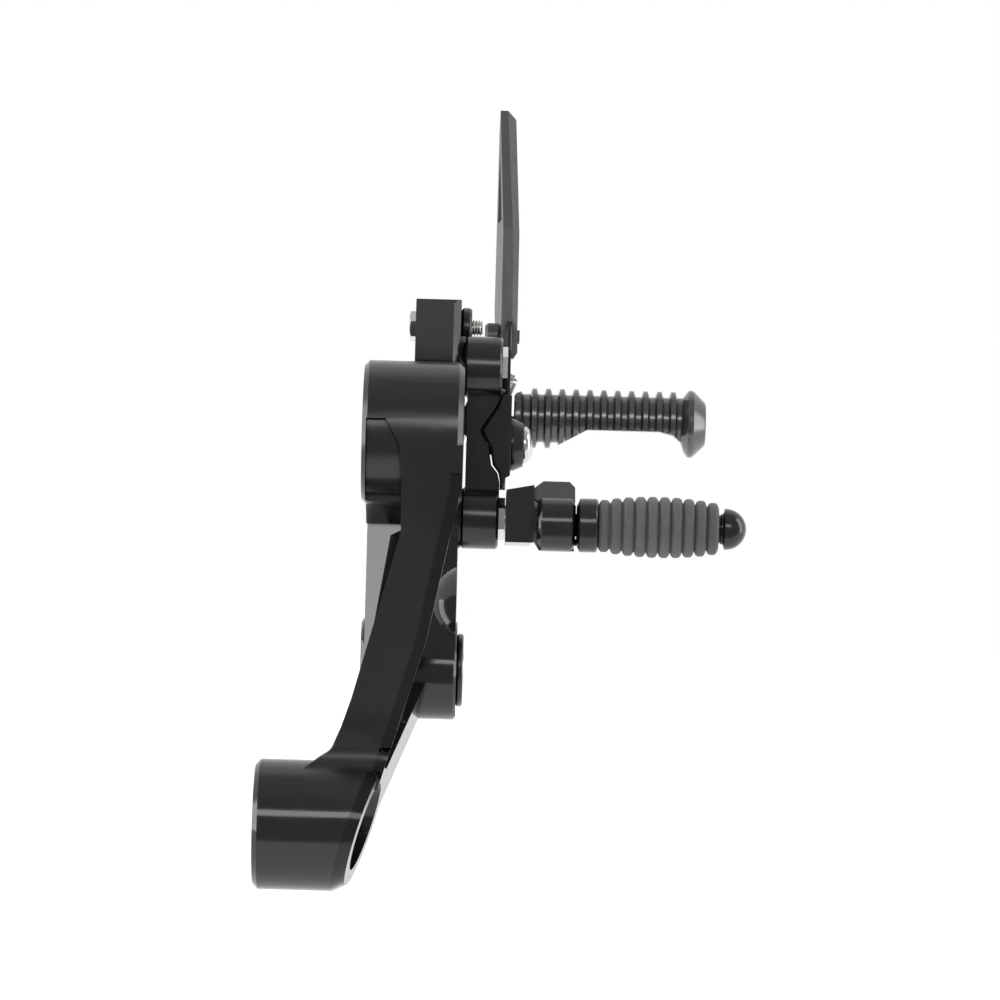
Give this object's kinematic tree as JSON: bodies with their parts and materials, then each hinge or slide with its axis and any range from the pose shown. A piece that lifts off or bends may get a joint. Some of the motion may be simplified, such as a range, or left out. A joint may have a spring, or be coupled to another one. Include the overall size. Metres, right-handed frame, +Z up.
{
  "type": "rear sets footrest",
  "caption": "Left-hand motorcycle rear set: milled frame bracket with a folding foot peg, a gear lever with a folding toe peg, and a heel guard.",
  "frame": {"origin": "centre of the upper frame bore at the bracket's inboard face", "axes": "+X outboard along the frame bolts and the foot peg, +Y to the rear of the motorcycle, +Z up"},
  "size_m": [0.1685, 0.2654, 0.2935],
  "materials": {
    "black_bracket": "black anodised, milled, gloss",
    "black_fittings": "black anodised, turned",
    "black_lever": "black anodised, satin gloss",
    "black_peg": "black anodised, satin",
    "black_steel": "black oxide",
    "stainless": "bright stainless steel",
    "spring_steel": "drawn spring wire",
    "bronze": "sintered bronze",
    "toe_rubber": "matt moulded rubber",
    "guard_plastic": "satin dark grey"
  },
  "bodies": {
    "bracket": {"frame_bracket": "black_bracket", "rear_boss_flange": "black_fittings", "rear_boss_bolt": "stainless", "stud_bolt": "stainless", "stud_spacer": "black_fittings", "peg_plate": "black_bracket", "plate_bolt": "stainless", "pivot_stud": "stainless", "pivot_washer": "stainless", "pivot_screw": "stainless", "peg_carrier": "black_bracket", "carrier_bolt": "stainless", "carrier_collar": "black_fittings", "fold_pin": "stainless", "fold_pin_clip": "spring_steel", "fold_spring": "spring_steel", "heel_guard": "guard_plastic", "guard_screws": "black_steel"},
    "lever": {"gear_lever": "black_lever", "lever_bush": "bronze", "toe_hinge_block": "black_lever", "toe_block_bolt": "black_steel", "toe_hinge_pin": "stainless", "detent_ball": "stainless", "detent_spring": "spring_steel"},
    "toe_peg": {"toe_peg_arm": "black_lever", "toe_peg_core": "black_lever", "toe_rubber": "toe_rubber"},
    "peg": {"foot_peg": "black_peg"}
  },
  "joints": [
    {"name": "lever_pivot", "type": "hinge", "parent": "bracket", "child": "lever", "pos_m": [0.0566, 0.04, -0.03], "axis": [1, 0, 0], "range_deg": [-12, 12]},
    {"name": "toe_peg_fold", "type": "hinge", "parent": "lever", "child": "toe_peg", "pos_m": [0.0702, -0.094, -0.0309], "axis": [0, 0, 1], "range_deg": [0, 90]},
    {"name": "foot_peg_fold", "type": "hinge", "parent": "bracket", "child": "peg", "pos_m": [0.044, 0.078, 0.008], "axis": [0.4226, 0, 0.9063], "range_deg": [0, 65], "stiffness_Nm_per_rad": 0.25, "springref_deg": -17.19}
  ]
}
